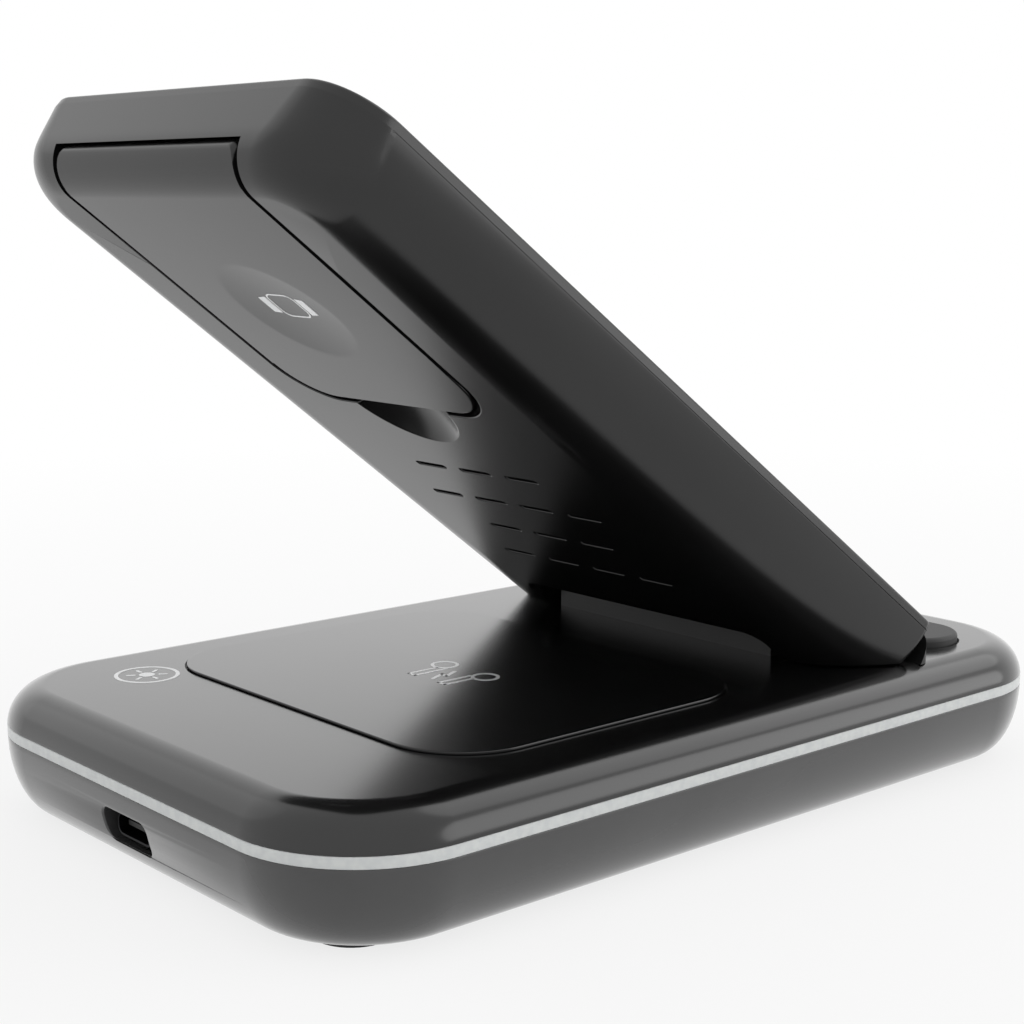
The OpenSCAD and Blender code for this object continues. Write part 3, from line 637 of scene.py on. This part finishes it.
# %% [markdown]
# Both lofts were drawn flat, with the hinge end at the origin. One matrix takes them, and all that is cut from them, to
# where the open panel stands.

# %% Place of the open panel
def trim(bm, point, normal):
    """Removes what lies beyond the plane, and closes the cut."""
    bmesh.ops.bisect_plane(
        bm, geom=list(bm.verts) + list(bm.edges) + list(bm.faces), dist=0.001 * MM, plane_co=point, plane_no=normal,
        clear_outer=True)
    close_holes(bm)


panel_place = (Matrix.Translation(hinge) @ Matrix.Rotation(OPEN_ANGLE, 4, "X")
               @ Matrix.Translation((0, -HINGE_ALONG, -HINGE_DEEP)))


def place_panel(piece):
    """Moves a mesh that was drawn along the panel to where the open panel stands."""
    piece.data.transform(panel_place)
    return piece


print("the panel turns about a line", HINGE_ALONG / MM, "mm from its lower end")


# %% [markdown]
# ## Cuts in the panel's back
# The watch flap's recess is a block with round corners and a barrel at its far end. The finger scoop is part of a
# large ball, the vents are slots, and the notch lets the panel pass over the hinge's pedestal.

# %% Sizes of the cuts
FLAP_HALF, FLAP_FROM, FLAP_THICK, FLAP_CORNER = 21.9 * MM, 78.8 * MM, 5 * MM, 8 * MM
FLAP_GAP, ROOM_BEHIND, ABOVE_FACE = 1 * MM, 0.5 * MM, 3 * MM
AXIS_ALONG, AXIS_DEEP, BARREL = PANEL_LONG - 4.3 * MM, 3.4 * MM, 3.9 * MM
VENT_ROWS, VENT_FROM, VENT_PITCH, VENT_ROW_STEP = 4, 31.4, 10.5, 9.6
VENT_HALF_LONG, VENT_HALF_WIDE, VENT_END = 3.5 * MM, 0.5 * MM, 0.49 * MM
SCOOP_RADIUS, SCOOP_DEEP = 11 * MM, 3.2 * MM
NOTCH_HALF, NOTCH_TOP, NOTCH_CORNER = 27.1 * MM, 17.8 * MM, 3 * MM
print("the flap's axis lies", round(AXIS_ALONG / MM, 1), "mm along the panel and", AXIS_DEEP / MM, "mm deep")


# %% Barrel and flap block
def barrel(radius, half, name, end_round=0.0):
    bm = bmesh.new()
    bmesh.ops.create_cone(bm, cap_ends=True, segments=96, radius1=radius, radius2=radius, depth=2 * half)
    if end_round:
        rims = [edge for edge in bm.edges if edge.verts[0].co.z * edge.verts[1].co.z > 0]
        bmesh.ops.bevel(
            bm, geom=rims, offset=end_round, offset_type="OFFSET", segments=4, profile=0.5, affect="EDGES",
            material=-1, clamp_overlap=True)
    turn = Matrix.Rotation(math.radians(90), 4, "Y")
    bmesh.ops.transform(bm, matrix=Matrix.Translation((0, AXIS_ALONG, AXIS_DEEP)) @ turn, verts=bm.verts)
    return loose_object(bm, name)


def flap_block(half, start, corner, deep, barrel_radius, name, end_round=0.0):
    bm = bmesh.new()
    face = rounded_outline(bm, (-half, start), (half, AXIS_ALONG), -ABOVE_FACE, [corner, corner, 0, 0])
    raise_wall(bm, face, deep + ABOVE_FACE)
    block = loose_object(bm, name)
    return combine(block, barrel(barrel_radius, half, "barrel", end_round), "UNION")


# %% Vents, scoop and notch
def slots(name):
    """Rows of short slots. Every second row is one slot shorter, so that the slots are staggered."""
    bm = bmesh.new()
    for row in range(VENT_ROWS):
        count = 4 if row % 2 == 0 else 3
        for i in range(count):
            x = (i - (count - 1) / 2) * VENT_PITCH * MM
            y = (VENT_FROM + VENT_ROW_STEP * row) * MM
            face = rounded_outline(
                bm, (x - VENT_HALF_LONG, y - VENT_HALF_WIDE), (x + VENT_HALF_LONG, y + VENT_HALF_WIDE), -MM,
                [VENT_END] * 4, 4)
            raise_wall(bm, face, 3.2 * MM)
    return loose_object(bm, name)


def ball_through(radius, deep):
    """The radius of the ball that sinks this deep into a flat face and leaves a bowl of this radius."""
    return (radius ** 2 + deep ** 2) / (2 * deep)


def scoop_ball():
    ball = ball_through(SCOOP_RADIUS, SCOOP_DEEP)
    bm = bmesh.new()
    bmesh.ops.create_uvsphere(bm, u_segments=160, v_segments=120, radius=ball)
    bmesh.ops.translate(bm, verts=bm.verts, vec=(0, FLAP_FROM + 1.3 * MM, SCOOP_DEEP - ball))
    return loose_object(bm, "scoop")


def notch_block():
    bm = bmesh.new()
    face = rounded_outline(
        bm, (-NOTCH_HALF, -10 * MM), (NOTCH_HALF, NOTCH_TOP), -MM, [0, 0, NOTCH_CORNER, NOTCH_CORNER], 8)
    raise_wall(bm, face, 20 * MM)
    return loose_object(bm, "notch")


# %% Cut the back
combine(back_shell, scoop_ball(), "DIFFERENCE")
combine(back_shell, flap_block(FLAP_HALF + FLAP_GAP, FLAP_FROM - FLAP_GAP, FLAP_CORNER + FLAP_GAP,
                               FLAP_THICK + ROOM_BEHIND, BARREL + ROOM_BEHIND, "recess"), "DIFFERENCE")
combine(back_shell, slots("vents"), "DIFFERENCE")
combine(back_shell, notch_block(), "DIFFERENCE")
print("back shell after its cuts:", len(back_shell.data.polygons), "faces")

# %% [markdown]
# Where the open panel comes down on the base, its two ears are cut off level, a hair above the top cover. That cut is
# level in the stand's frame, so it comes after the panel is put in place.

# %% Finish the panel's shells
def cut_level(piece, height):
    bm = bmesh.new()
    bm.from_mesh(piece.data)
    trim(bm, Vector((0, 0, height)), Vector((0, 0, -1)))
    bm.to_mesh(piece.data)
    bm.free()
    return piece


def clear_of_barrel(edge):
    """True for edges that keep away from the barrel, where the flap and the panel pass close by each other."""
    return max(vert.co.y for vert in edge.verts) < AXIS_ALONG - 4 * MM


round_edges(back_shell, 0.2 * MM, 3, 30, clear_of_barrel)
place_panel(back_shell)
cut_level(back_shell, top_z + GAP)
dress(back_shell, "phone_panel", panel_plastic, ["panel_back_shell"])
place_panel(front_cover)
dress(front_cover, "phone_panel", panel_plastic, ["panel_front_cover"])

# %% [markdown]
# ## Watch flap
# The flap has to stay flush with the panel round the top end, so it is cut from the same loft: we keep what the loft
# and the flap's block have in common. A shallow dish, spun from a short arc, marks where the watch goes.

# %% Flap with its dish
DISH_MIDDLE, DISH_RADIUS, DISH_DEEP = FLAP_FROM + 23.4 * MM, 11.3 * MM, 0.4 * MM


def dish_block():
    """A lens: its upper side is the dish's floor, and it reaches out of the flap's face."""
    bm = bmesh.new()
    ball = ball_through(DISH_RADIUS, DISH_DEEP)
    steps = 12
    span = math.asin(DISH_RADIUS / ball)
    arc = [bm.verts.new((ball * math.sin(span * i / steps), 0, DISH_DEEP - ball + ball * math.cos(span * i / steps)))
           for i in range(steps + 1)]
    arc.append(bm.verts.new((DISH_RADIUS + 0.5 * MM, 0, -0.5 * MM)))
    arc.append(bm.verts.new((0, 0, -MM)))
    edges = [bm.edges.new(pair) for pair in zip(arc, arc[1:])]
    bmesh.ops.spin(bm, geom=arc + edges, cent=(0, 0, 0), axis=(0, 0, 1), dvec=(0, 0, 0), angle=2 * math.pi,
                   steps=96, use_merge=True)
    bmesh.ops.remove_doubles(bm, verts=bm.verts, dist=0.001 * MM)
    bmesh.ops.translate(bm, verts=bm.verts, vec=(0, DISH_MIDDLE, 0))
    return loose_object(bm, "dish")


watch_flap = flap_block(FLAP_HALF, FLAP_FROM, FLAP_CORNER, FLAP_THICK, BARREL, "watch_door", 1.2 * MM)
combine(watch_flap, lofted_back("panel_copy"), "INTERSECT")
combine(watch_flap, dish_block(), "DIFFERENCE")
round_edges(watch_flap, 0.3 * MM, 3, 30,
            lambda edge: min(vert.co.z for vert in edge.verts) < 4.9 * MM and clear_of_barrel(edge))
place_panel(watch_flap)
dress(watch_flap, "watch_flap", flap_plastic, ["flap_shell"])

# %% [markdown]
# ## Printed marks
# Three small pictograms show what goes where: a lamp by the touch key, a pair of earbuds on the pad and a watch on the
# flap. They are printed in light ink, so each is a film a few hundredths of a millimetre thick. A ring is a circle with
# an inset whose middle is taken out, and a line is a bar with round ends.

# %% Strokes
INK = 0.04 * MM


def thicken(bm):
    made = bmesh.ops.extrude_face_region(bm, geom=list(bm.faces), use_keep_orig=True)
    bmesh.ops.translate(
        bm, verts=[item for item in made["geom"] if isinstance(item, bmesh.types.BMVert)], vec=(0, 0, INK))


def ring(x, y, radius, width):
    """A ring, or a filled dot where the width is 0, in millimetres."""
    bm = bmesh.new()
    made = bmesh.ops.create_circle(bm, cap_ends=True, segments=64, radius=radius * MM)
    face = made["verts"][0].link_faces[0]
    if width:
        bmesh.ops.inset_region(bm, faces=[face], thickness=width * MM, depth=0, use_boundary=True, use_even_offset=True)
        bmesh.ops.delete(bm, geom=[face], context="FACES")
    bmesh.ops.translate(bm, verts=bm.verts, vec=(x * MM, y * MM, 0))
    thicken(bm)
    return bm


def bar(start, end, width):
    """A straight stroke with round ends between two points, in millimetres."""
    (x0, y0), (x1, y1) = start, end
    long = math.hypot(x1 - x0, y1 - y0)
    bm = bmesh.new()
    half = width / 2 * MM
    rounded_outline(bm, (-half, -half), (long * MM + half, half), 0, [half * 0.98] * 4, 4)
    turn = Matrix.Rotation(math.atan2(y1 - y0, x1 - x0), 4, "Z")
    bmesh.ops.transform(bm, matrix=Matrix.Translation(mm(x0, y0, 0)) @ turn, verts=bm.verts)
    thicken(bm)
    return bm


def frame_mark(x, y, half_wide, half_tall, radius, width):
    bm = bmesh.new()
    low, high = mm(x - half_wide, y - half_tall), mm(x + half_wide, y + half_tall)
    face = rounded_outline(bm, low, high, 0, [radius * MM] * 4, 8)
    bmesh.ops.inset_region(bm, faces=[face], thickness=width * MM, depth=0, use_boundary=True, use_even_offset=True)
    bmesh.ops.delete(bm, geom=[face], context="FACES")
    thicken(bm)
    return bm


# %% Print the strokes
def printed(name, strokes, matrix, body):
    """Joins the strokes, lays them on their surface and lets them ride on its body."""
    joined = bmesh.new()
    for stroke in strokes:
        mesh = bpy.data.meshes.new("stroke")
        stroke.to_mesh(mesh)
        stroke.free()
        joined.from_mesh(mesh)
        bpy.data.meshes.remove(mesh)
    mark = loose_object(joined, name)
    mark.data.transform(matrix)
    mark.data.materials.append(mark_ink)
    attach(mark, body)
    print(name, "has", len(mark.data.polygons), "faces")
    return mark


# %% [markdown]
# The lamp mark is a ring, a dot and six rays. The earbuds are two rings with stems and a small spark between them. The
# watch is a rounded frame with two bits of strap. Its strokes are drawn flat, and each point is then lowered onto the
# dish's floor, or the middle of the mark would float above it.

# %% Marks
TOUCH_X, TOUCH_Y = 29.4, 53.6
lamp_strokes = [ring(0, 0, 4.9, 0.6), ring(0, 0, 1.2, 0)]
for i in range(6):
    across, along = math.cos(math.radians(60 * i)), math.sin(math.radians(60 * i))
    lamp_strokes.append(bar((1.9 * across, 1.9 * along), (2.9 * across, 2.9 * along), 0.5))
lamp_place = mm(TOUCH_X, TOUCH_Y, 0) + Vector((0, 0, top_z - 0.01 * MM))
printed("lamp_mark", lamp_strokes, Matrix.Translation(lamp_place), "base")

bud_strokes = []
for side in (-1, 1):
    bud_strokes += [ring(side * 4.8, -2.9, 2.2, 0.55), bar((side * 4.3, -0.9), (side * 4.3, 4.5), 0.5),
                    bar((side * 2.8, -1.6), (side * 2.8, 4.5), 0.5), bar((side * 2.8, 4.5), (side * 4.3, 4.5), 0.5)]
spark = [(0.6, -1.4), (-0.7, 1.3), (0.7, 1), (-0.5, 3.7)]
bud_strokes += [bar(start, end, 0.6) for start, end in zip(spark, spark[1:])]
printed("earbud_mark", bud_strokes,
        Matrix.Translation(Vector((-1.2 * MM, (pad_low.y + pad_high.y) / 2 + MM, pad_high.z - 0.01 * MM))), "base")

watch_strokes = [frame_mark(0, 0, 3.2, 2.7, 1.5, 0.28)]
for side in (-1, 1):
    for i in range(4):
        x, y = side * (3.75 + 0.42 * i), 1.7 - 0.06 * i
        watch_strokes.append(bar((x, -y), (x, y), 0.5))
face_down = Matrix.Rotation(math.pi, 4, "Y")
watch_place = Matrix.Translation((-MM, DISH_MIDDLE + MM, 0.01 * MM)) @ face_down
for stroke in watch_strokes:
    stroke.transform(watch_place)
    for vert in stroke.verts:
        from_middle = Vector((vert.co.x, vert.co.y - DISH_MIDDLE)).length
        vert.co.z += DISH_DEEP * (1 - (from_middle / DISH_RADIUS) ** 2)
printed("watch_mark", watch_strokes, panel_place, "watch_flap")

# %% [markdown]
# ## Camera
# The photograph was taken from low behind the stand, with a long lens. Its place was found by matching the base's
# corners and the panel's edges. The camera looks along its own minus Z, so we build its turn from the three directions
# that it should have.

# %% Camera
camera_data = bpy.data.cameras.new("camera")
camera_data.sensor_width = 36
camera_data.lens = 65.19
camera = bpy.data.objects.new("camera", camera_data)
bpy.context.scene.collection.objects.link(camera)
yaw, pitch, roll = (math.radians(angle) for angle in (-41.19, 9.64, 0.17))
forward = Vector((math.cos(pitch) * math.cos(yaw), math.cos(pitch) * math.sin(yaw), -math.sin(pitch)))
turn = forward.to_track_quat("-Z", "Y").to_matrix().to_4x4() @ Matrix.Rotation(roll, 4, "Z")
camera.matrix_world = Matrix.Translation(mm(-212.03, 191.57, 90.84)) @ turn
camera_data.clip_start, camera_data.clip_end = 0.01, 10
bpy.context.scene.camera = camera
print("camera looks along", [round(v, 3) for v in forward])

# %% [markdown]
# ## Floor, sky and lamps
# A black object is lit by what it reflects. The camera, the gloss and any clear part all see a white room: Light Path
# tells a ray's kind, and those rays meet an emission of strength 1. All other rays meet a dimmer sky, so that the light
# on the object stays plain. The floor near the stand keeps a share of its own shading, which is the stand's shadow, and
# fades to the same white further out, so that no horizon shows.

# %% Who sees the white room
def sees_white(nodes, links):
    """Adds up the ray kinds that see the background, as a number from 0 to 1."""
    path = nodes.new("ShaderNodeLightPath")
    total = path.outputs["Is Camera Ray"]
    for kind in ("Is Glossy Ray", "Is Transmission Ray"):
        add = nodes.new("ShaderNodeMath")
        add.operation, add.use_clamp = "ADD", True
        links.new(total, add.inputs[0])
        links.new(path.outputs[kind], add.inputs[1])
        total = add.outputs[0]
    return total


# %% Floor
bm = bmesh.new()
bmesh.ops.create_grid(bm, x_segments=1, y_segments=1, size=6.0)
floor = loose_object(bm, "floor")
floor_material, nodes, links, surface = new_material("floor paper")
surface.inputs["Base Color"].default_value = (0.85, 0.85, 0.85, 1)
surface.inputs["Roughness"].default_value = 0.9
place = nodes.new("ShaderNodeTexCoord")
reach = nodes.new("ShaderNodeVectorMath")
reach.operation = "LENGTH"
fade = nodes.new("ShaderNodeMapRange")
fade.inputs["From Min"].default_value, fade.inputs["From Max"].default_value = 0.12, 0.4
fade.inputs["To Min"].default_value, fade.inputs["To Max"].default_value = 0.8, 1.0
share = nodes.new("ShaderNodeMath")
share.operation = "MULTIPLY"
glow = nodes.new("ShaderNodeEmission")
mix = nodes.new("ShaderNodeMixShader")
links.new(place.outputs["Object"], reach.inputs[0])
links.new(reach.outputs["Value"], fade.inputs["Value"])
links.new(sees_white(nodes, links), share.inputs[0])
links.new(fade.outputs["Result"], share.inputs[1])
links.new(share.outputs[0], mix.inputs["Fac"])
links.new(surface.outputs["BSDF"], mix.inputs[1])
links.new(glow.outputs["Emission"], mix.inputs[2])
links.new(mix.outputs["Shader"], nodes["Material Output"].inputs["Surface"])
floor.data.materials.append(floor_material)
print("floor laid")

# %% Sky
world = bpy.data.worlds.new("studio")
bpy.context.scene.world = world
world.use_nodes = True
nodes, links = world.node_tree.nodes, world.node_tree.links
sky = nodes["Background"]
sky.inputs["Color"].default_value = (1, 1, 1, 1)
sky.inputs["Strength"].default_value = 0.8
seen = nodes.new("ShaderNodeBackground")
seen.inputs["Color"].default_value = (1, 1, 1, 1)
seen.inputs["Strength"].default_value = 1.0
mix = nodes.new("ShaderNodeMixShader")
links.new(sees_white(nodes, links), mix.inputs["Fac"])
links.new(sky.outputs["Background"], mix.inputs[1])
links.new(seen.outputs["Background"], mix.inputs[2])
links.new(mix.outputs["Shader"], nodes["World Output"].inputs["Surface"])
print("sky made")

# %% [markdown]
# Three very large discs stand in for soft boxes: one high beyond the port end, one behind the panel and one low along
# the near side. A lamp that is as wide as its distance leaves no hot spot on a satin curve, only a slow gradient.

# %% Lamps
def soft_lamp(name, direction, distance, size, radiance):
    """A disc that faces the stand. Its power follows from its area and from how bright its face should look."""
    data = bpy.data.lights.new(name, "AREA")
    data.shape, data.size = "DISK", size
    data.energy = radiance * math.pi * math.pi * (size / 2) ** 2
    lamp = bpy.data.objects.new(name, data)
    bpy.context.scene.collection.objects.link(lamp)
    way = Vector(direction).normalized()
    lamp.location = way * distance
    lamp.rotation_mode = "QUATERNION"
    lamp.rotation_quaternion = (-way).to_track_quat("-Z", "Y")
    lamp.visible_camera = False
    print(name, "gives", round(data.energy, 1), "watts")
    return lamp


soft_lamp("port side", (0.74, 0.36, 0.57), 2.0, 1.4, 0.22)
soft_lamp("behind", (-0.15, -0.65, 0.72), 2.0, 1.5, 0.8)
soft_lamp("near side", (-0.74, -0.65, 0.2), 1.8, 1.3, 1.5)
bpy.context.scene.view_settings.view_transform = "Standard"
print("studio ready")
